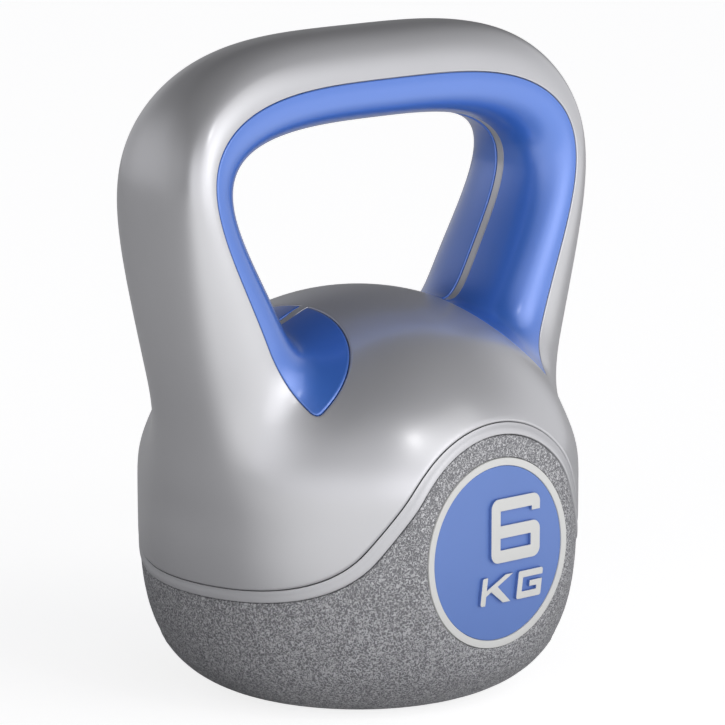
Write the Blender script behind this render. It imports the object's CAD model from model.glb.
"""Builds the visible pieces of a 6 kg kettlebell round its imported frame, with materials and a stage.

The frame is in metres. The outer form and the seams are worked out in millimetres, as in the CAD.
"""

import math

import bmesh
import bpy
import numpy as np
from bpy.props import FloatProperty, FloatVectorProperty, PointerProperty
from mathutils import Matrix, Vector
from mathutils.geometry import interpolate_bezier


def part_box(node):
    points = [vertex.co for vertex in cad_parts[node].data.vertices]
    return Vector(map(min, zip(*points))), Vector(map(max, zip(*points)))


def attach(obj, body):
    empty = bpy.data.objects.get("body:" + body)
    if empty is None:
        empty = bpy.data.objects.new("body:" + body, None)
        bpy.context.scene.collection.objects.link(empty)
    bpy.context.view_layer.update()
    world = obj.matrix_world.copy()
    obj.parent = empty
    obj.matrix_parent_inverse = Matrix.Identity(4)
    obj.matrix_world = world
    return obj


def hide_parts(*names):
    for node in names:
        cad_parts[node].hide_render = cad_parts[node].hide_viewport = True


bl_info = {
    "name": "Kettlebell",
    "version": (1, 0, 0),
    "blender": (4, 5, 0),
    "location": "3D View > Sidebar > Kettlebell",
    "description": "Builds a moulded kettlebell with grip liners and badges round its packed frame",
    "category": "Object",
}

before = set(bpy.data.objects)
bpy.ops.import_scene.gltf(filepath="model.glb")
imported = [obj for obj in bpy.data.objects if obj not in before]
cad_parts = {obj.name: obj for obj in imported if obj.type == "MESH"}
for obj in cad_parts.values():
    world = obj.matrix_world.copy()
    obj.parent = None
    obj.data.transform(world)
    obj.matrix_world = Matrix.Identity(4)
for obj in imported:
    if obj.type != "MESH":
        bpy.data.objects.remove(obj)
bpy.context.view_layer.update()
MM = 0.001

# ------------------------------------------------------------------------------ the outer form
# The same form as the CAD's, in millimetres: a round bell and a loop handle, softly blended, with
# a flat pad at the front and the rear for the badges.
HEIGHT = 250.0
BELLY_RADIUS, BELLY_LEVEL = 83.0, 78.3
DOME_RISE, BOWL_DEPTH = 73.2, 80.8
DOME_POWER, BOWL_POWER, POWER_FADE = 2.0, 3.5, 30.0
DOME_TOP = BELLY_LEVEL + DOME_RISE
OPENING_TOP = 215.7
GRIP_MIDDLE = (HEIGHT + OPENING_TOP) / 2.0
HUB_LEVEL = (DOME_TOP + OPENING_TOP) / 2.0
GRIP_DEPTH, ROOT_DEPTH = 20.0, 31.0
LEG_LEVELS = (82.0, 150.0, 185.0)
OPENING_WIDTHS, OUTER_WIDTHS = (38.0, 55.6, 77.6), (79.4, 97.8, 104.5)
OPENING_SPRING, OPENING_POWER = 150.0, 2.85
OUTER_SPRING, OUTER_POWER = 143.0, 3.5
OPENING_REACH, OUTER_REACH, LEAST_THICKNESS = 60.0, 90.0, 12.0
SECTION_POWER = 2.5
LEG_FREEZE_LEVEL, LEG_END_LEVEL, ROOT_BLEND = 76.0, 62.0, 24.0
FALL_RANGE, DEPTH_GROWTH, DEPTH_SLOWING = (-0.2, 0.95), 1.95, 0.95
PAD_FACE, PAD_SIDE_BLEND, PAD_FACE_BLEND = 75.2, 10.0, 4.0
BADGE_LEVEL, BADGE_RADIUS = 62.0, 35.6
PAD_RADIUS = BADGE_RADIUS + 3.5

# The seams, drawn as seen from the front.
ARCH_RADIUS, LOBE_RADIUS, LOBE_LEVEL, SEAM_SLOPE = 44.0, 42.4, 46.6, math.radians(55.8)
BAND_WIDTH, BAND_GAP = 4.3, 0.3
LINER_RIB, LINER_GAP, LINER_THICKNESS = 3.6, 0.2, 1.8
LINER_TIP_LEVEL, LINER_TOE = 115.0, (27.2, 147.4)
SOLE_PULL, TOE_PULL, TOE_RUN_ON = Vector((-12.3, 10.2, 0.0)), 14.0, 22.0
TIP_LEAN, LEAN_START, LEAN_POWER, TIP_ROUNDING = 2.9, 0.88, 1.5, 2.6
POCKET_DEPTH, BADGE_GAP = 2.0, 0.2
RING_WIDTH, BADGE_PROUD, DISC_SUNK = 3.1, 0.4, 0.3
FOOT_RECESS_RADIUS, FOOT_RECESS, HOLE_RADIUS = 34.0, 1.6, 13.0
PLUG_GAP, PLUG_WALL, PLUG_LENGTH = 0.15, 2.0, 9.0
FLANGE_RADIUS, FLANGE_THICKNESS = 18.0, 1.2
WALL, FLOOR_THICKNESS = 3.5, 5.0
LIP_SHARES = (0.1, 0.35, 0.7, 1.0, 2.0)  # cuts along a rounded edge, in shares of its radius


def ease(t):
    t = np.clip(t, 0.0, 1.0)
    return t**3 * (t * (6.0 * t - 15.0) + 10.0)


def soft_min(a, b, reach):
    share = np.maximum(reach - np.abs(a - b), 0.0) / reach
    return np.minimum(a, b) - share**3 * reach / 6.0


def soft_max(a, b, reach):
    return -soft_min(-a, -b, reach)


def through_levels(level, widths):
    """The quadratic in height through the three half widths at the three leg levels."""
    total = 0.0
    for i, width in enumerate(widths):
        others = [other for j, other in enumerate(LEG_LEVELS) if j != i]
        share = (level - others[0]) * (level - others[1])
        total = total + width * share / ((LEG_LEVELS[i] - others[0]) * (LEG_LEVELS[i] - others[1]))
    return total


def arch_gauge(x, z, half_width, spring, crown, power):
    """1 on an arch's outline, less inside it and more outside."""
    rise = np.maximum(z - spring, 0.0) / (crown - spring)
    return ((np.abs(x) / half_width) ** power + rise**power) ** (1.0 / power)


def radial_distance(across, along, gauge):
    return np.hypot(across, along) * (1.0 - 1.0 / np.maximum(gauge, 1e-6))


def bell_field(x, y, z):
    radius = np.hypot(x, y)
    height = np.where(z > BELLY_LEVEL, DOME_RISE, BOWL_DEPTH)
    share = ease((z - BELLY_LEVEL + POWER_FADE) / (2.0 * POWER_FADE))
    power = BOWL_POWER + (DOME_POWER - BOWL_POWER) * share
    flat, tall = radius / BELLY_RADIUS, np.abs(z - BELLY_LEVEL) / height
    gauge = (flat**power + tall**power) ** (1.0 / power)
    return radial_distance(radius, z - BELLY_LEVEL, gauge)


def across_handle(x, z):
    """Place across the handle, -1 at the opening and 1 outside, and the thickness there."""
    level = np.maximum(z, LEG_FREEZE_LEVEL)
    opening, outside = through_levels(level, OPENING_WIDTHS), through_levels(level, OUTER_WIDTHS)
    inner = arch_gauge(x, z, opening, OPENING_SPRING, OPENING_TOP, OPENING_POWER)
    outer = arch_gauge(x, z, outside, OUTER_SPRING, HEIGHT, OUTER_POWER)
    past, inside = (inner - 1.0) * OPENING_REACH, (1.0 - outer) * OUTER_REACH
    thickness = np.maximum(past + inside, LEAST_THICKNESS)
    return (past - inside) / thickness, thickness


def form_field(x, y, z):
    """Zero on the skin, negative inside, about in millimetres."""
    place, thickness = across_handle(x, z)
    fall = np.clip((GRIP_MIDDLE - z) / (GRIP_MIDDLE - LEG_LEVELS[0]), *FALL_RANGE)
    depth = GRIP_DEPTH + (ROOT_DEPTH - GRIP_DEPTH) * fall * (DEPTH_GROWTH - DEPTH_SLOWING * fall)
    gauge = np.abs(place) ** SECTION_POWER + (np.abs(y) / depth) ** SECTION_POWER
    handle = radial_distance(place * thickness / 2.0, y, gauge ** (1.0 / SECTION_POWER))
    handle = soft_max(handle, LEG_END_LEVEL - z, ROOT_BLEND)
    joined = soft_min(bell_field(x, y, z), handle, ROOT_BLEND)
    past_pad = np.hypot(x, z - BADGE_LEVEL) - PAD_RADIUS
    return soft_max(soft_min(joined, past_pad, PAD_SIDE_BLEND), np.abs(y) - PAD_FACE, PAD_FACE_BLEND)


def crossing(field, low, step, marches):
    """March out from low, where the field is negative, and close in on its zero."""
    for _ in range(marches):
        inside = field(low + step) < 0.0
        if not inside.any():
            break
        low = np.where(inside, low + step, low)
    high = low + step
    for _ in range(24):
        middle = (low + high) / 2.0
        inside = field(middle) < 0.0
        low, high = np.where(inside, middle, low), np.where(inside, high, middle)
    return (low + high) / 2.0


def ring_centres(turns):
    """Distance from the hub to the middle of the ring's section at each turn from straight up."""
    reach = np.arange(2.0, 260.0, 1.0)
    along, turn = np.meshgrid(reach, turns)
    values = form_field(np.sin(turn) * along, 0.0, HUB_LEVEL + np.cos(turn) * along)
    inside = values < 0.0
    first = inside.argmax(axis=1)
    past = ~inside & (np.arange(len(reach)) > first[:, None])
    last = past.argmax(axis=1)
    rows = np.arange(len(turns))
    total = 0.0
    for after in (first, last):
        ahead, behind = values[rows, after], values[rows, after - 1]
        total = total + reach[after - 1] - behind / (ahead - behind)
    return total / 2.0


CENTRE_TURNS = np.linspace(0.0, math.pi, 361)
CENTRES = ring_centres(CENTRE_TURNS)


def skin_at(turn, ray):
    """The skin's points for turns about the hub and rays round the sections, as x, y, z rows."""
    centre = np.interp(turn, CENTRE_TURNS, CENTRES)

    def place(distance):
        out = centre + distance * np.cos(ray)
        return np.sin(turn) * out, distance * np.sin(ray), HUB_LEVEL + np.cos(turn) * out

    reach = crossing(lambda d: form_field(*place(d)), np.zeros_like(turn), 3.0, 70)
    return np.stack(place(reach), axis=1)


def skin_normals(points):
    step, slopes = 0.02, []
    for axis in np.eye(3) * step:
        slopes.append(form_field(*(points + axis).T) - form_field(*(points - axis).T))
    slopes = np.stack(slopes, axis=1)
    return slopes / np.linalg.norm(slopes, axis=1)[:, None]


# ------------------------------------------------------------------------------ seam gauges
def parting_gauge(points):
    """Signed distance, seen from the front, above the wavy line where the textured base ends."""
    x, z = np.abs(points[:, 0]), points[:, 2]
    down = np.array([math.cos(SEAM_SLOPE), -math.sin(SEAM_SLOPE)])
    out = np.array([math.sin(SEAM_SLOPE), math.cos(SEAM_SLOPE)])
    start = np.array([0.0, BADGE_LEVEL]) + ARCH_RADIUS * out
    drop = start[1] - LOBE_LEVEL - LOBE_RADIUS * (1.0 - math.cos(SEAM_SLOPE))
    length = drop / math.sin(SEAM_SLOPE)
    lobe = start + length * down + LOBE_RADIUS * out
    place = np.stack([x, z], axis=1) - start
    along, above = place @ down, place @ out
    arch = np.hypot(x, z - BADGE_LEVEL) - ARCH_RADIUS
    round_lobe = LOBE_RADIUS - np.hypot(x - lobe[0], z - lobe[1])
    round_lobe = np.where(z < lobe[1], round_lobe, LOBE_RADIUS + z - lobe[1])
    side = np.where(x < lobe[0], round_lobe, z - LOBE_LEVEL)
    return np.where(along < 0.0, arch, np.where(along > length, side, above))


def liner_outline():
    """Points of the right half of a grip liner's outer edge, from the top round to its toe."""
    def middle_of_handle(turn, lean):
        def field(distance):
            return across_handle(np.sin(turn) * distance, HUB_LEVEL + np.cos(turn) * distance)[0]

        distance = crossing(field, np.full_like(turn, 20.0), 2.0, 60) - lean
        return np.stack([np.sin(turn) * distance, HUB_LEVEL + np.cos(turn) * distance], axis=1)

    turns = np.linspace(math.radians(120.0), math.radians(150.0), 601)
    levels = middle_of_handle(turns, TIP_LEAN)[:, 1]
    last = np.interp(-LINER_TIP_LEVEL, -levels, turns)
    turns = np.linspace(-0.2, last, 260)
    lean = np.clip((turns / last - LEAN_START) / (1.0 - LEAN_START), 0.0, 1.0) ** LEAN_POWER
    ridge = middle_of_handle(turns, TIP_LEAN * lean)
    tip, toe = Vector((*ridge[-1], 0.0)), Vector((*LINER_TOE, 0.0))
    towards_hub = (Vector((0.0, HUB_LEVEL, 0.0)) - toe).normalized()
    foot = interpolate_bezier(tip, tip + SOLE_PULL, toe - TOE_PULL * towards_hub, toe, 60)
    foot.append(toe + TOE_RUN_ON * towards_hub)
    foot = np.array([point.xy for point in foot[1:]])
    sharp = ridge[-1]
    ridge = ridge[np.linalg.norm(ridge - sharp, axis=1) > TIP_ROUNDING]
    foot = foot[np.linalg.norm(foot - sharp, axis=1) > TIP_ROUNDING]
    before, after, corner = (Vector((*place, 0.0)) for place in (ridge[-1], foot[0], sharp))
    rounded = interpolate_bezier(before, before.lerp(corner, 0.7), after.lerp(corner, 0.7), after, 10)
    return np.vstack([ridge, [point.xy for point in rounded[1:-1]]]), foot


def distance_to_line(places, line):
    """Distance from each place to an open line of points."""
    nearest = np.full(len(places), 1e9)
    for a, b in zip(line[:-1], line[1:]):
        run = b - a
        share = np.clip(((places - a) @ run) / (run @ run), 0.0, 1.0)
        nearest = np.minimum(nearest, np.linalg.norm(places - a - share[:, None] * run, axis=1))
    return nearest


RIDGE, FOOT = liner_outline()


def outline_gauge(points):
    """Signed distance, seen from the front, outside the grip liners' outline."""
    x, z = np.abs(points[:, 0]), points[:, 2] - HUB_LEVEL
    line = np.vstack([RIDGE, FOOT])
    line_x, line_z = line[:, 0], line[:, 1] - HUB_LEVEL
    turns, reaches = np.arctan2(line_x, line_z), np.hypot(line_x, line_z)
    turn, reach = np.arctan2(x, z), np.hypot(x, z)
    inside = (reach < np.interp(turn, turns[:-1], reaches[:-1])) & (turn < turns[:-1].max())
    distance = distance_to_line(np.stack([x, points[:, 2]], axis=1), line)
    return np.where(inside, -distance, distance)


def liner_gauge(points):
    """Signed distance outside the pocket that a grip liner lies in, its rib side included."""
    return np.maximum(outline_gauge(points), LINER_RIB / 2.0 - np.abs(points[:, 1]))


def badge_gauge(points):
    return np.hypot(points[:, 0], points[:, 2] - BADGE_LEVEL) - BADGE_RADIUS


def floor_gauge(points):
    return points[:, 2]


def foot_gauge(points):
    """Distance outside the middle of the underside, far away from it elsewhere."""
    return np.where(points[:, 2] < 20.0, np.hypot(points[:, 0], points[:, 1]), 200.0)


def round_over(gauge, radius):
    """How far a rounded edge falls below the surface at a distance in from the edge."""
    inside = np.clip(1.0 - gauge / radius, 0.0, 1.0)
    return radius * (1.0 - np.sqrt(1.0 - inside**2))


# ------------------------------------------------------------------------------ mesh helpers
class Sheet:
    """A quarter of the form's skin as a flat sheet of turns and rays, cut along gauge levels."""

    def __init__(self, columns, rays, gauges):
        self.bm = bmesh.new()
        centre = Matrix.Translation((math.pi / 2.0, math.pi / 2.0, 0.0)) @ Matrix.Scale(math.pi, 4)
        bmesh.ops.create_grid(self.bm, x_segments=columns, y_segments=rays, size=0.5, matrix=centre)
        self.gauges = gauges
        self.layers = {name: self.bm.verts.layers.float.new(name) for name in gauges}
        self.measure()

    def points(self):
        flat = np.array([vert.co[:2] for vert in self.bm.verts])
        return skin_at(flat[:, 0], flat[:, 1])

    def measure(self):
        points = self.points()
        for name, gauge in self.gauges.items():
            layer = self.layers[name]
            for vert, value in zip(self.bm.verts, gauge(points)):
                vert[layer] = value

    def lay_flat(self, name=None):
        for vert in self.bm.verts:
            vert.co.z = vert[self.layers[name]] if name else 0.0

    def refine(self, name, level, reach):
        """Halve the mesh near a gauge level."""
        layer = self.layers[name]
        edges = []
        for edge in self.bm.edges:
            a, b = edge.verts[0][layer] - level, edge.verts[1][layer] - level
            if min(abs(a), abs(b)) < reach or a * b < 0.0:
                edges.append(edge)
        self.lay_flat()
        bmesh.ops.subdivide_edges(self.bm, edges=edges, cuts=1, use_grid_fill=True)
        self.measure()

    def cut(self, name, levels, clear_above=None, clear_below=None):
        """Cut along gauge levels, and drop what lies past the cleared ones."""
        wanted = sorted(set(levels) | {v for v in (clear_above, clear_below) if v is not None})
        for level in wanted:
            self.lay_flat(name)
            geom = self.bm.verts[:] + self.bm.edges[:] + self.bm.faces[:]
            bmesh.ops.bisect_plane(
                self.bm, geom=geom, dist=0.004, plane_co=(0.0, 0.0, level), plane_no=(0.0, 0.0, 1.0),
                clear_outer=level == clear_above, clear_inner=level == clear_below,
            )
        self.lay_flat()

    def value(self, name):
        layer = self.layers[name]
        return np.array([vert[layer] for vert in self.bm.verts])

    def wrap(self, depth, thickness, adjust=None, adjust_inside=None):
        """Lay the sheet on the form, sunk by a depth at each vertex, and close it into a wall.

        The wall's inside lies a thickness below the form. Lengths are in millimetres.
        """
        points = self.points()
        normals = skin_normals(points)
        outside = points - normals * depth[:, None]
        inside = points - normals * thickness
        outside = outside if adjust is None else adjust(outside)
        inside = inside if adjust_inside is None else adjust_inside(inside)
        for places in (outside, inside):
            places[np.abs(places) < 1e-3] = 0.0
        inner = self.bm.verts.layers.float_vector.new("inner")
        for vert, place, inner_place in zip(self.bm.verts, outside, inside):
            vert.co = place * MM
            vert[inner] = inner_place * MM
        self.close_wall(inner)

    def close_wall(self, inner):
        bm = self.bm
        border = [edge for edge in bm.edges if edge.is_boundary and not on_mirror_plane(edge)]
        twin = bmesh.ops.duplicate(bm, geom=bm.verts[:] + bm.edges[:] + bm.faces[:])["geom"]
        bmesh.ops.reverse_faces(bm, faces=[item for item in twin if isinstance(item, bmesh.types.BMFace)])
        rim = bmesh.ops.extrude_edge_only(bm, edges=border)["geom"]
        for vert in twin + rim:
            if isinstance(vert, bmesh.types.BMVert):
                vert.co = vert[inner]
        bmesh.ops.remove_doubles(bm, verts=bm.verts, dist=1e-6)


def on_mirror_plane(edge):
    a, b = (vert.co for vert in edge.verts)
    return (a.x == 0.0 and b.x == 0.0) or (a.y == 0.0 and b.y == 0.0)


def mirror_across(bm, axis):
    """Add the twin on the other side of a mirror plane and join the two there."""
    geom = bm.verts[:] + bm.edges[:] + bm.faces[:]
    bmesh.ops.mirror(bm, geom=geom, matrix=Matrix.Identity(4), merge_dist=1e-6, axis=axis)


def mirror_into_whole(bm):
    """Make the whole skin from its quarter, with its normals outward."""
    mirror_across(bm, "X")
    mirror_across(bm, "Y")
    bmesh.ops.recalc_face_normals(bm, faces=bm.faces)

def finish_mesh(bm, name, material, replaced, sharp=38.0):
    """Turn a bmesh into a piece that rides on the root body and stands for its CAD nodes."""
    limit = math.radians(sharp)
    bmesh.ops.dissolve_degenerate(bm, dist=1e-7, edges=bm.edges)
    for face in bm.faces:
        face.smooth = True
    for edge in bm.edges:
        edge.smooth = len(edge.link_faces) == 2 and edge.calc_face_angle(0.0) < limit
    mesh = bpy.data.meshes.new(name)
    bm.to_mesh(mesh)
    bm.free()
    piece = bpy.data.objects.new(name, mesh)
    bpy.context.scene.collection.objects.link(piece)
    mesh.materials.append(material)
    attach(piece, "root")
    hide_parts(*replaced)
    return piece


def copy_of_node(node):
    """A merged copy of a CAD node's mesh, its flat faces made whole."""
    bm = bmesh.new()
    bm.from_mesh(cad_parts[node].data)
    bmesh.ops.remove_doubles(bm, verts=bm.verts, dist=1e-6)
    bmesh.ops.dissolve_limit(bm, angle_limit=math.radians(1.0), verts=bm.verts, edges=bm.edges)
    return bm


# ------------------------------------------------------------------------------ materials
def new_material(name):
    material = bpy.data.materials.new(name)
    if material.name != name:
        raise RuntimeError(f"there is already a material called {name}")
    material.use_nodes = True
    nodes = material.node_tree.nodes
    return material, nodes, material.node_tree.links, nodes["Principled BSDF"]


def group_with(name, inputs, outputs):
    """An empty shader group with named sockets: (name, socket type, default) rows."""
    group = bpy.data.node_groups.new(name, "ShaderNodeTree")
    for label, kind, default in inputs:
        socket = group.interface.new_socket(label, in_out="INPUT", socket_type=kind)
        if default is not None:
            socket.default_value = default
    for label, kind in outputs:
        group.interface.new_socket(label, in_out="OUTPUT", socket_type=kind)
    return group, group.nodes.new("NodeGroupInput"), group.nodes.new("NodeGroupOutput")


def math_node(tree, operation, a, b=None):
    node = tree.nodes.new("ShaderNodeMath")
    node.operation = operation
    for socket, value in zip(node.inputs, (a, b)):
        if isinstance(value, bpy.types.NodeSocket):
            tree.links.new(value, socket)
        elif value is not None:
            socket.default_value = value
    return node.outputs[0]


def mix_colours(tree, share, a, b):
    node = tree.nodes.new("ShaderNodeMix")
    node.data_type = "RGBA"
    for socket, value in ((node.inputs[0], share), (node.inputs[6], a), (node.inputs[7], b)):
        if isinstance(value, bpy.types.NodeSocket):
            tree.links.new(value, socket)
        else:
            socket.default_value = value
    return node.outputs[2]


def noise(tree, scale, detail=2.0, roughness=0.5, distortion=0.0):
    """Noise on object coordinates, scale in features per metre."""
    place = tree.nodes.new("ShaderNodeTexCoord")
    node = tree.nodes.new("ShaderNodeTexNoise")
    tree.links.new(place.outputs["Object"], node.inputs["Vector"])
    node.inputs["Scale"].default_value = scale
    node.inputs["Detail"].default_value = detail
    node.inputs["Roughness"].default_value = roughness
    node.inputs["Distortion"].default_value = distortion
    return node.outputs["Fac"]


def smooth_mask(tree, value, start, end, low=0.0, high=1.0):
    """A value eased from low to high between two of its levels."""
    node = tree.nodes.new("ShaderNodeMapRange")
    node.interpolation_type = "SMOOTHSTEP"
    tree.links.new(value, node.inputs["Value"])
    for name, number in (("From Min", start), ("From Max", end), ("To Min", low), ("To Max", high)):
        node.inputs[name].default_value = number
    return node.outputs["Result"]

def moulded_group():
    """Fine unevenness of a moulded surface: mottled colour, roughness and a faint ripple."""
    group, given, result = group_with(
        "moulded_surface",
        [("Colour", "NodeSocketColor", None), ("Mottle", "NodeSocketFloat", 0.05),
         ("Roughness", "NodeSocketFloat", 0.3), ("Roughness Spread", "NodeSocketFloat", 0.05),
         ("Ripple", "NodeSocketFloat", 0.05)],
        [("Colour", "NodeSocketColor"), ("Roughness", "NodeSocketFloat"), ("Normal", "NodeSocketVector")],
    )
    broad = noise(group, 45.0, 3.0)
    fine = noise(group, 1400.0, 2.0)
    shift = math_node(group, "SUBTRACT", broad, 0.5)
    tint = math_node(group, "ADD", math_node(group, "MULTIPLY", shift, given.outputs["Mottle"]), 1.0)
    scaled = group.nodes.new("ShaderNodeVectorMath")
    scaled.operation = "SCALE"
    group.links.new(given.outputs["Colour"], scaled.inputs[0])
    group.links.new(tint, scaled.inputs["Scale"])
    group.links.new(scaled.outputs[0], result.inputs["Colour"])
    off = math_node(group, "SUBTRACT", fine, 0.5)
    spread = math_node(group, "MULTIPLY", off, given.outputs["Roughness Spread"])
    rough = math_node(group, "ADD", given.outputs["Roughness"], spread)
    group.links.new(rough, result.inputs["Roughness"])
    bump = group.nodes.new("ShaderNodeBump")
    bump.inputs["Distance"].default_value = 0.0002
    group.links.new(given.outputs["Ripple"], bump.inputs["Strength"])
    group.links.new(fine, bump.inputs["Height"])
    group.links.new(bump.outputs["Normal"], result.inputs["Normal"])
    return group


def moulded_material(name, group, colour, roughness, mottle, spread, ripple, metallic, coat):
    """One moulded finish; what is the same all over it is set on the shader itself."""
    material, nodes, links, shader = new_material(name)
    surface = nodes.new("ShaderNodeGroup")
    surface.node_tree = group
    surface.inputs["Colour"].default_value = (*colour, 1.0)
    surface.inputs["Mottle"].default_value = mottle
    surface.inputs["Roughness"].default_value = roughness
    surface.inputs["Roughness Spread"].default_value = spread
    surface.inputs["Ripple"].default_value = ripple
    links.new(surface.outputs["Colour"], shader.inputs["Base Color"])
    shader.inputs["Roughness"].default_value = roughness
    if spread > 0.0:
        links.new(surface.outputs["Roughness"], shader.inputs["Roughness"])
    if ripple > 0.0:
        links.new(surface.outputs["Normal"], shader.inputs["Normal"])
    shader.inputs["Metallic"].default_value = metallic
    shader.inputs["Coat Weight"].default_value = coat
    shader.inputs["Coat Roughness"].default_value = 0.12
    material.diffuse_color = (*colour, 1.0)


def grain_group():
    """Worm-like raised grain of a textured moulding, as a mask of its ridges."""
    group, given, result = group_with(
        "worm_grain", [("Scale", "NodeSocketFloat", 700.0), ("Width", "NodeSocketFloat", 0.05)],
        [("Ridge", "NodeSocketFloat")],
    )
    place = group.nodes.new("ShaderNodeTexCoord")
    fine = group.nodes.new("ShaderNodeTexNoise")
    group.links.new(place.outputs["Object"], fine.inputs["Vector"])
    group.links.new(given.outputs["Scale"], fine.inputs["Scale"])
    fine.inputs["Detail"].default_value = 1.0
    fine.inputs["Distortion"].default_value = 0.6
    off = math_node(group, "ABSOLUTE", math_node(group, "SUBTRACT", fine.outputs["Fac"], 0.5))
    ridge = group.nodes.new("ShaderNodeMapRange")
    ridge.interpolation_type = "SMOOTHSTEP"
    group.links.new(off, ridge.inputs["Value"])
    group.links.new(given.outputs["Width"], ridge.inputs["From Max"])
    ridge.inputs["From Min"].default_value = 0.01
    ridge.inputs["To Min"].default_value = 1.0
    ridge.inputs["To Max"].default_value = 0.0
    group.links.new(ridge.outputs["Result"], result.inputs["Ridge"])
    return group


def grain_material(name, group, low, high):
    material, nodes, links, shader = new_material(name)
    grain = nodes.new("ShaderNodeGroup")
    grain.node_tree = group
    grain.inputs["Scale"].default_value = 1000.0
    grain.inputs["Width"].default_value = 0.1
    tree = material.node_tree
    colour = mix_colours(tree, grain.outputs["Ridge"], (*low, 1.0), (*high, 1.0))
    links.new(colour, shader.inputs["Base Color"])
    rough = nodes.new("ShaderNodeMapRange")
    links.new(grain.outputs["Ridge"], rough.inputs["Value"])
    rough.inputs["To Min"].default_value = 0.62
    rough.inputs["To Max"].default_value = 0.36
    links.new(rough.outputs["Result"], shader.inputs["Roughness"])
    bump = nodes.new("ShaderNodeBump")
    bump.inputs["Distance"].default_value = 0.00035
    bump.inputs["Strength"].default_value = 0.7
    links.new(grain.outputs["Ridge"], bump.inputs["Height"])
    links.new(bump.outputs["Normal"], shader.inputs["Normal"])
    shader.inputs["Metallic"].default_value = 0.25
    material.diffuse_color = (*high, 1.0)


def linear(red, green, blue):
    """A display colour from 0 to 255 as linear light."""
    def one(value):
        value /= 255.0
        return value / 12.92 if value <= 0.04045 else ((value + 0.055) / 1.055) ** 2.4

    return one(red), one(green), one(blue)


# ------------------------------------------------------------------------------ settings
class KettlebellSizes(bpy.types.PropertyGroup):
    """Sizes of the finishing details."""

    shell_lip: FloatProperty(
        name="Shell lip", description="Rounding of the upper shell's edge at the liners",
        default=0.4 * MM, unit="LENGTH", precision=5)
    seam_lip: FloatProperty(
        name="Seam lip", description="Rounding of the upper shell's lower edge",
        default=0.9 * MM, unit="LENGTH", precision=5)
    liner_lip: FloatProperty(
        name="Liner lip", description="Rounding of the grip liners' edges",
        default=0.6 * MM, unit="LENGTH", precision=5)
    rib_sink: FloatProperty(
        name="Rib sink", description="How far the rib between the liners lies below them",
        default=0.45 * MM, unit="LENGTH", precision=5)
    band_fall: FloatProperty(
        name="Band fall", description="How far the band falls away towards its upper seam",
        default=0.45 * MM, unit="LENGTH", precision=5)
    grain_sink: FloatProperty(
        name="Grain sink", description="How far the textured surface lies below the band",
        default=0.45 * MM, unit="LENGTH", precision=5)


class KettlebellColours(bpy.types.PropertyGroup):
    """Colours of the finishes, as linear light."""

    silver: FloatVectorProperty(
        name="Silver", description="Moulded silver shell", subtype="COLOR", size=3,
        min=0.0, max=1.0, default=linear(190, 190, 192))
    blue: FloatVectorProperty(
        name="Blue", description="Grip liners", subtype="COLOR", size=3,
        min=0.0, max=1.0, default=linear(60, 110, 198))
    badge: FloatVectorProperty(
        name="Badge", description="Badge discs", subtype="COLOR", size=3,
        min=0.0, max=1.0, default=linear(92, 122, 186))
    grain_low: FloatVectorProperty(
        name="Grain ground", description="Ground of the textured base", subtype="COLOR", size=3,
        min=0.0, max=1.0, default=linear(118, 118, 121))
    grain_high: FloatVectorProperty(
        name="Grain ridges", description="Ridges of the textured base", subtype="COLOR", size=3,
        min=0.0, max=1.0, default=linear(198, 198, 200))
    mark: FloatVectorProperty(
        name="Mark", description="Badge ring and raised figures", subtype="COLOR", size=3,
        min=0.0, max=1.0, default=linear(204, 204, 201))


def sizes():
    return bpy.context.scene.kettlebell_sizes


def material_named(name):
    return bpy.data.materials[name]


# ------------------------------------------------------------------------------ operators
class KETTLEBELL_OT_materials(bpy.types.Operator):
    """Make the finishes and give every CAD node one of them"""

    bl_idname = "kettlebell.materials"
    bl_label = "Materials"

    def execute(self, context):
        colours = context.scene.kettlebell_colours
        group = moulded_group()
        for name, colour, roughness, mottle, spread, ripple, metallic, coat in (
            ("silver_plastic", colours.silver, 0.28, 0.05, 0.0, 0.0, 0.55, 0.3),
            ("soft_blue", colours.blue, 0.34, 0.05, 0.03, 0.01, 0.25, 1.0),
            ("badge_lacquer", colours.badge, 0.42, 0.06, 0.03, 0.02, 0.0, 0.0),
            ("badge_metal", colours.mark, 0.4, 0.03, 0.05, 0.05, 0.0, 0.0),
            ("band_silver", colours.silver, 0.4, 0.05, 0.03, 0.01, 0.5, 0.0),
            ("cast_cement", linear(150, 148, 142), 0.9, 0.5, 0.1, 0.8, 0.0, 0.0),
            ("bar_steel", linear(160, 160, 162), 0.35, 0.1, 0.15, 0.2, 1.0, 0.0),
            ("black_plug", linear(38, 38, 40), 0.5, 0.2, 0.1, 0.2, 0.0, 0.0),
        ):
            moulded_material(name, group, colour, roughness, mottle, spread, ripple, metallic, coat)
        gloss = material_named("soft_blue").node_tree.nodes["Principled BSDF"].inputs
        gloss["Coat IOR"].default_value = 1.7
        gloss["Coat Roughness"].default_value = 0.22
        grain_material("textured_plastic", grain_group(), colours.grain_low, colours.grain_high)
        finishes = {"cast_filling": "cast_cement", "handle_rod": "bar_steel", "fill_plug": "black_plug"}
        for name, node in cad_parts.items():
            finish = material_named(finishes.get(name, "silver_plastic"))
            for slot in node.material_slots:
                slot.material = finish
            if not node.material_slots:
                raise RuntimeError(f"{name} has no material slot")
        return {"FINISHED"}


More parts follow.
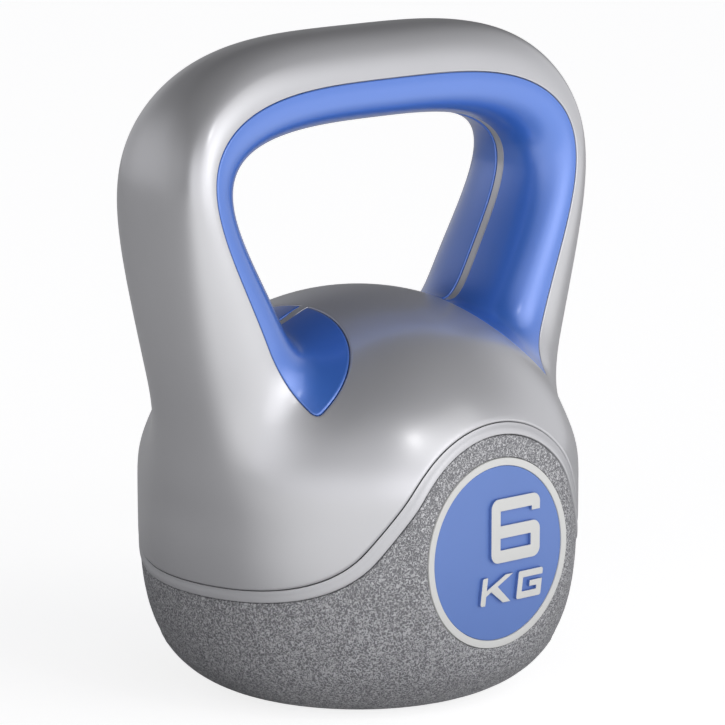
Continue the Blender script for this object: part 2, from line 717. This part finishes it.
class KETTLEBELL_OT_upper_shell(bpy.types.Operator):
    """Silver upper shell with the loop handle and the pockets for the grip liners"""

    bl_idname = "kettlebell.upper_shell"
    bl_label = "Upper Shell"

    def execute(self, context):
        sheet = Sheet(180, 72, {"liner": liner_gauge, "outline": outline_gauge, "seam": parting_gauge})
        sheet.refine("liner", 0.0, 1.6)
        sheet.refine("liner", 0.0, 0.9)
        sheet.refine("seam", BAND_WIDTH + BAND_GAP, 1.5)
        lip, seam_lip = sizes().shell_lip / MM, sizes().seam_lip / MM
        sheet.cut("liner", (-0.02, 0.0, 0.12 * lip, 0.4 * lip, lip, 3.0 * lip))
        edge = BAND_WIDTH + BAND_GAP
        sheet.cut("seam", [edge + share * seam_lip for share in LIP_SHARES], clear_below=edge)
        liner, seam = sheet.value("liner"), sheet.value("seam") - edge
        inside = ease((-sheet.value("outline") - 2.0) / 3.0)
        depth = round_over(np.maximum(liner, 0.0), lip)
        depth = np.where(liner < -0.01, LINER_THICKNESS + LINER_GAP, depth + inside * sizes().rib_sink / MM)
        depth = depth + round_over(np.maximum(seam, 0.0), seam_lip)
        sheet.wrap(depth, WALL)
        bm = sheet.bm
        mirror_into_whole(bm)
        finish_mesh(bm, "silver_shell", material_named("silver_plastic"), ("upper_shell",))
        return {"FINISHED"}


class KETTLEBELL_OT_liners(bpy.types.Operator):
    """The two soft grip liners round the inside of the handle"""

    bl_idname = "kettlebell.liners"
    bl_label = "Grip Liners"

    def execute(self, context):
        for side in ("front", "rear"):
            sheet = Sheet(180, 96, {"liner": liner_gauge})
            sheet.refine("liner", 0.0, 1.4)
            sheet.refine("liner", 0.0, 0.8)
            lip = sizes().liner_lip / MM
            levels = [-LINER_GAP - share * lip for share in LIP_SHARES]
            sheet.cut("liner", levels, clear_above=-LINER_GAP)
            gauge = -LINER_GAP - sheet.value("liner")
            sheet.wrap(round_over(np.maximum(gauge, 0.0), lip), LINER_THICKNESS)
            bm = sheet.bm
            mirror_across(bm, "X")
            if side == "front":
                bmesh.ops.scale(bm, vec=(1.0, -1.0, 1.0), verts=bm.verts)
            bmesh.ops.recalc_face_normals(bm, faces=bm.faces)
            node = f"grip_liner_{side}"
            finish_mesh(bm, f"{node}_skin", material_named("soft_blue"), (node,))
        return {"FINISHED"}


class KETTLEBELL_OT_trim_band(bpy.types.Operator):
    """Smooth wavy band between the upper shell and the textured base"""

    bl_idname = "kettlebell.trim_band"
    bl_label = "Trim Band"

    def execute(self, context):
        sheet = Sheet(180, 72, {"seam": parting_gauge})
        sheet.refine("seam", BAND_WIDTH / 2.0, 2.5)
        shares = (0.03, 0.08, 0.16, 0.28, 0.42, 0.56, 0.7, 0.84, 0.95)
        sheet.cut("seam", [BAND_WIDTH * share for share in shares], clear_above=BAND_WIDTH, clear_below=0.0)
        across = sheet.value("seam")
        fall = sizes().band_fall / MM * ease((across / BAND_WIDTH - 0.3) / 0.65)
        sheet.wrap(round_over(np.maximum(across, 0.0), 0.45) + fall, WALL)
        bm = sheet.bm
        mirror_into_whole(bm)
        finish_mesh(bm, "trim_bead", material_named("band_silver"), ("trim_band",))
        return {"FINISHED"}


class KETTLEBELL_OT_base_shell(bpy.types.Operator):
    """Textured base shell with the badge pockets, the flat foot and the filling hole"""

    bl_idname = "kettlebell.base_shell"
    bl_label = "Base Shell"

    def execute(self, context):
        sheet = Sheet(180, 72, {
            "seam": parting_gauge, "badge": badge_gauge, "floor": floor_gauge, "foot": foot_gauge})
        sheet.refine("seam", 0.0, 1.2)
        sheet.refine("badge", 0.0, 1.2)
        sheet.refine("foot", FOOT_RECESS_RADIUS, 1.2)
        sheet.refine("foot", HOLE_RADIUS, 1.2)
        sheet.cut("seam", (-BAND_GAP - 0.2, -BAND_GAP - 0.5, -BAND_GAP - 1.2), clear_above=-BAND_GAP)
        sheet.cut("badge", (-0.02, 0.0, 0.1, 0.3))
        sheet.cut("floor", (0.0, 0.3, 1.0))
        sheet.cut("foot", (FOOT_RECESS_RADIUS - 0.02, FOOT_RECESS_RADIUS), clear_below=HOLE_RADIUS)
        badge, foot = sheet.value("badge"), sheet.value("foot")
        sunk = sizes().grain_sink / MM * ease((badge - 0.2) / 2.0) * (foot > 199.0)
        depth = sunk + round_over(np.maximum(-BAND_GAP - sheet.value("seam"), 0.0), 0.3)
        depth = depth + round_over(np.maximum(badge, 0.0), 0.3)
        floor = PAD_FACE - POCKET_DEPTH

        def flatten(points):
            points[:, 2] = np.maximum(points[:, 2], 0.0)
            points[:, 2] = np.where(foot < FOOT_RECESS_RADIUS - 0.01, FOOT_RECESS, points[:, 2])
            points[:, 1] = np.where(badge < -0.01, np.minimum(points[:, 1], floor), points[:, 1])
            return points

        def above_floor(points):
            points[:, 2] = np.maximum(points[:, 2], FLOOR_THICKNESS)
            return points

        sheet.wrap(depth, WALL, flatten, above_floor)
        bm = sheet.bm
        mirror_into_whole(bm)
        finish = material_named("textured_plastic")
        finish_mesh(bm, "textured_base_skin", finish, ("base_shell",))
        return {"FINISHED"}


def badge_matrix(side, lift):
    """Stand a piece drawn flat, facing up, in its pocket at the front or the rear."""
    turn = Matrix.Rotation(math.radians(90.0), 4, "X")
    if side == "rear":
        turn = Matrix.Rotation(math.radians(180.0), 4, "Z") @ turn
    away = -1.0 if side == "front" else 1.0
    level = PAD_FACE - POCKET_DEPTH + BADGE_GAP + lift
    return Matrix.Translation((0.0, away * level * MM, BADGE_LEVEL * MM)) @ turn


def spun_ring(outline, steps):
    """Spin a closed outline of (radius, height) points, in millimetres, round the Z axis."""
    bm = bmesh.new()
    verts = [bm.verts.new((radius * MM, 0.0, height * MM)) for radius, height in outline]
    edges = [bm.edges.new((a, b)) for a, b in zip(verts, verts[1:] + verts[:1])]
    bmesh.ops.spin(
        bm, geom=verts + edges, cent=(0, 0, 0), axis=(0, 0, 1), angle=2.0 * math.pi, steps=steps,
        use_merge=True)
    bmesh.ops.remove_doubles(bm, verts=bm.verts, dist=1e-7)
    bmesh.ops.recalc_face_normals(bm, faces=bm.faces)
    return bm


def bevel_sharp(bm, width, segments, keep=None):
    """Round the sharp edges of a mesh that pass a test."""
    edges = [edge for edge in bm.edges if edge.calc_face_angle(0.0) > math.radians(40.0)]
    if keep is not None:
        edges = [edge for edge in edges if keep(edge)]
    bmesh.ops.bevel(
        bm, geom=edges, offset=width * MM, offset_type="OFFSET", segments=segments, profile=0.5,
        affect="EDGES", material=-1, clamp_overlap=True)


class KETTLEBELL_OT_badges(bpy.types.Operator):
    """Rings, discs and raised figures of the front and rear badges"""

    bl_idname = "kettlebell.badges"
    bl_label = "Badges"

    def execute(self, context):
        ring_face = POCKET_DEPTH + BADGE_PROUD - BADGE_GAP
        disc_face = ring_face - DISC_SUNK
        metal, lacquer = material_named("badge_metal"), material_named("badge_lacquer")
        for side in ("front", "rear"):
            outer, inner = BADGE_RADIUS - BADGE_GAP, BADGE_RADIUS - RING_WIDTH
            bm = spun_ring([(inner, 0.0), (outer, 0.0), (outer, ring_face), (inner, ring_face)], 180)
            bevel_sharp(bm, 0.35, 4, lambda e: all(v.co.z > MM for v in e.verts))
            bm.transform(badge_matrix(side, 0.0))
            finish_mesh(bm, f"badge_{side}_ring", metal, (f"badge_ring_{side}",))
            bm = bmesh.new()
            bmesh.ops.create_circle(bm, cap_ends=True, segments=180, radius=(inner - BADGE_GAP / 2.0) * MM)
            raised = bmesh.ops.extrude_face_region(bm, geom=bm.faces[:])
            tops = [v for v in raised["geom"] if isinstance(v, bmesh.types.BMVert)]
            bmesh.ops.translate(bm, vec=(0.0, 0.0, disc_face * MM), verts=tops)
            bmesh.ops.recalc_face_normals(bm, faces=bm.faces)
            bevel_sharp(bm, 0.25, 3, lambda e: all(v.co.z > MM for v in e.verts))
            bm.transform(badge_matrix(side, 0.0))
            finish_mesh(bm, f"badge_{side}_disc", lacquer, (f"badge_disc_{side}",))
            for figure in ("numeral_six", "letter_k", "letter_g"):
                self.raise_figure(f"{figure}_{side}")
        return {"FINISHED"}

    def raise_figure(self, node):
        bm = copy_of_node(node)
        low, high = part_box(node)
        face = low.y if high.y < 0.0 else high.y
        bevel_sharp(bm, 0.18, 3, lambda e: all(abs(v.co.y - face) < 1e-5 for v in e.verts))
        bm.normal_update()
        for side in bm.faces:
            side.material_index = 1 if abs(side.normal.y) < 0.3 else 0
        piece = finish_mesh(bm, f"{node}_mark", material_named("badge_metal"), (node,))
        piece.data.materials.append(material_named("badge_lacquer"))


class KETTLEBELL_OT_plug(bpy.types.Operator):
    """Push-in plug under the base"""

    bl_idname = "kettlebell.plug"
    bl_label = "Plug"

    def execute(self, context):
        shank, low = HOLE_RADIUS - PLUG_GAP, FOOT_RECESS - FLANGE_THICKNESS
        bore, top = shank - PLUG_WALL, FOOT_RECESS + PLUG_LENGTH
        roof = top - PLUG_WALL
        outline = [(0.0, roof), (bore, roof), (bore, low), (FLANGE_RADIUS, low),
                   (FLANGE_RADIUS, FOOT_RECESS), (shank, FOOT_RECESS), (shank, top), (0.0, top)]
        bm = bmesh.new()
        verts = [bm.verts.new((radius * MM, 0.0, height * MM)) for radius, height in outline]
        edges = [bm.edges.new((a, b)) for a, b in zip(verts[:-1], verts[1:])]
        bmesh.ops.spin(
            bm, geom=verts + edges, cent=(0, 0, 0), axis=(0, 0, 1), angle=2.0 * math.pi, steps=96,
            use_merge=True)
        bmesh.ops.remove_doubles(bm, verts=bm.verts, dist=1e-7)
        bmesh.ops.recalc_face_normals(bm, faces=bm.faces)
        bevel_sharp(bm, 0.3, 3)
        finish_mesh(bm, "filling_plug", material_named("black_plug"), ("fill_plug",))
        return {"FINISHED"}


def direction(azimuth, rise):
    """Unit vector away from the object, turned from the front and raised from level."""
    level = math.cos(rise)
    return Vector((math.sin(azimuth) * level, -math.cos(azimuth) * level, math.sin(rise)))

class KETTLEBELL_OT_stage(bpy.types.Operator):
    """Pale floor, soft lights, sky and camera"""

    bl_idname = "kettlebell.stage"
    bl_label = "Stage"

    def execute(self, context):
        self.floor()
        self.sky()
        self.panel("spot_panel", math.radians(-8.0), math.radians(38.0), 1.6, 0.16, 0.16, 0.7)
        self.panel("key_panel", math.radians(20.0), math.radians(28.0), 2.4, 1.6, 1.6, 6.5)
        self.camera(math.radians(-43.0), math.radians(10.47))
        return {"FINISHED"}

    def floor(self):
        bm = bmesh.new()
        bmesh.ops.create_grid(bm, x_segments=1, y_segments=1, size=6.0)
        mesh = bpy.data.meshes.new("floor")
        bm.to_mesh(mesh)
        bm.free()
        floor = bpy.data.objects.new("floor", mesh)
        bpy.context.scene.collection.objects.link(floor)
        material, nodes, links, shader = new_material("pale_floor")
        shader.inputs["Base Color"].default_value = (0.55, 0.55, 0.56, 1.0)
        shader.inputs["Roughness"].default_value = 0.9
        tree = material.node_tree
        place = nodes.new("ShaderNodeTexCoord")
        reach, side = nodes.new("ShaderNodeVectorMath"), nodes.new("ShaderNodeVectorMath")
        reach.operation, side.operation = "LENGTH", "DOT_PRODUCT"
        links.new(place.outputs["Object"], reach.inputs[0])
        links.new(place.outputs["Object"], side.inputs[0])
        side.inputs[1].default_value = (-0.1, -0.99, 0.0)
        facing = math_node(tree, "DIVIDE", side.outputs["Value"], reach.outputs["Value"])
        masks = []
        for value, start, end, low in (
            (reach.outputs["Value"], 0.06, 0.4, 0.12), (facing, -0.05, 0.6, 0.12),
        ):
            masks.append(smooth_mask(tree, value, start, end, low))
        glow = math_node(tree, "MULTIPLY", math_node(tree, "MULTIPLY", *masks), 1.1)
        shader.inputs["Emission Color"].default_value = (1.0, 1.0, 1.0, 1.0)
        links.new(glow, shader.inputs["Emission Strength"])
        bright = nodes.new("ShaderNodeBsdfPrincipled")
        bright.inputs["Base Color"].default_value = (0.5, 0.5, 0.5, 1.0)
        bright.inputs["Roughness"].default_value = 1.0
        bright.inputs["Specular IOR Level"].default_value = 0.0
        bright.inputs["Emission Color"].default_value = (1.0, 1.0, 1.0, 1.0)
        bright.inputs["Emission Strength"].default_value = 0.8
        rays, mix = nodes.new("ShaderNodeLightPath"), nodes.new("ShaderNodeMixShader")
        links.new(rays.outputs["Is Camera Ray"], mix.inputs[0])
        links.new(shader.outputs[0], mix.inputs[1])
        links.new(bright.outputs[0], mix.inputs[2])
        links.new(mix.outputs[0], nodes["Material Output"].inputs["Surface"])
        mesh.materials.append(material)

    def sky(self):
        """A dim sky with broad soft lights in it, seen as plain white by the camera."""
        world = bpy.data.worlds.new("studio")
        bpy.context.scene.world = world
        world.use_nodes = True
        tree = world.node_tree
        nodes, links = tree.nodes, tree.links
        place = nodes.new("ShaderNodeTexCoord")
        total = 0.14
        for axis, start, end, strength in (
            ((0.70, -0.71, -0.05), 0.1, 0.6, 0.75),
            ((-0.40, -0.92, 0.0), 0.45, 0.72, 1.35),
            ((-0.15, 0.98, 0.0), 0.5, 0.95, 0.5),
            ((-0.75, 0.55, 0.35), 0.8, 0.95, 0.3),
        ):
            dot = nodes.new("ShaderNodeVectorMath")
            dot.operation = "DOT_PRODUCT"
            links.new(place.outputs["Generated"], dot.inputs[0])
            dot.inputs[1].default_value = axis
            lobe = smooth_mask(tree, dot.outputs["Value"], start, end, 0.0, strength)
            total = math_node(tree, "ADD", lobe, total)
        apart = nodes.new("ShaderNodeSeparateXYZ")
        links.new(place.outputs["Generated"], apart.inputs[0])
        lid = smooth_mask(tree, apart.outputs["Z"], 0.25, 0.75, 1.0, 0.3)
        total = math_node(tree, "MULTIPLY", total, lid)
        dim, seen = nodes.new("ShaderNodeBackground"), nodes.new("ShaderNodeBackground")
        mix = nodes.new("ShaderNodeMixShader")
        dim.inputs["Color"].default_value = (0.97, 0.97, 1.0, 1.0)
        links.new(total, dim.inputs["Strength"])
        seen.inputs["Color"].default_value = (1.0, 1.0, 1.0, 1.0)
        rays = nodes.new("ShaderNodeLightPath")
        links.new(rays.outputs["Is Camera Ray"], mix.inputs[0])
        links.new(dim.outputs[0], mix.inputs[1])
        links.new(seen.outputs[0], mix.inputs[2])
        links.new(mix.outputs[0], nodes["World Output"].inputs["Surface"])

    def panel(self, name, azimuth, rise, distance, width, height, power):
        light = bpy.data.lights.new(name, "AREA")
        light.shape = "RECTANGLE"
        light.size, light.size_y, light.energy = width, height, power
        lamp = bpy.data.objects.new(name, light)
        aim = Vector((0.0, 0.0, 0.12))
        away = direction(azimuth, rise)
        lamp.location = aim + distance * away
        lamp.rotation_euler = away.to_track_quat("Z", "Y").to_euler()
        bpy.context.scene.collection.objects.link(lamp)

    def camera(self, azimuth, rise):
        camera = bpy.data.cameras.new("camera")
        camera.lens, camera.sensor_width = 238.37, 36.0
        camera.shift_x, camera.shift_y = 0.0063, -0.0083
        camera.clip_start, camera.clip_end = 0.05, 50.0
        viewer = bpy.data.objects.new("camera", camera)
        away = direction(azimuth, rise)
        viewer.location = Vector((0.0, 0.0, 0.125)) + 1.8 * away
        viewer.rotation_euler = away.to_track_quat("Z", "Y").to_euler()
        bpy.context.scene.collection.objects.link(viewer)
        bpy.context.scene.camera = viewer
        bpy.context.scene.view_settings.view_transform = "Standard"


class KETTLEBELL_PT_sidebar(bpy.types.Panel):
    """Lists the steps that build the kettlebell"""

    bl_label = "Kettlebell"
    bl_idname = "KETTLEBELL_PT_sidebar"
    bl_space_type = "VIEW_3D"
    bl_region_type = "UI"
    bl_category = "Kettlebell"

    def draw(self, context):
        for group in (context.scene.kettlebell_sizes, context.scene.kettlebell_colours):
            for name in group.bl_rna.properties.keys():
                if name not in ("rna_type", "name"):
                    self.layout.prop(group, name)
        for step in STEPS:
            self.layout.operator(step.bl_idname)


STEPS = (
    KETTLEBELL_OT_materials,
    KETTLEBELL_OT_upper_shell,
    KETTLEBELL_OT_liners,
    KETTLEBELL_OT_trim_band,
    KETTLEBELL_OT_base_shell,
    KETTLEBELL_OT_badges,
    KETTLEBELL_OT_plug,
    KETTLEBELL_OT_stage,
)
CLASSES = (KettlebellSizes, KettlebellColours, *STEPS, KETTLEBELL_PT_sidebar)


def register():
    for item in CLASSES:
        bpy.utils.register_class(item)
    bpy.types.Scene.kettlebell_sizes = PointerProperty(type=KettlebellSizes)
    bpy.types.Scene.kettlebell_colours = PointerProperty(type=KettlebellColours)


def unregister():
    del bpy.types.Scene.kettlebell_colours
    del bpy.types.Scene.kettlebell_sizes
    for item in reversed(CLASSES):
        bpy.utils.unregister_class(item)


def run_step(idname):
    area, name = idname.split(".")
    result = getattr(getattr(bpy.ops, area), name)()
    if result != {"FINISHED"}:
        raise RuntimeError(f"{idname} did not finish")


def main():
    register()
    for step in STEPS:
        run_step(step.bl_idname)


if __name__ == "__main__":
    main()
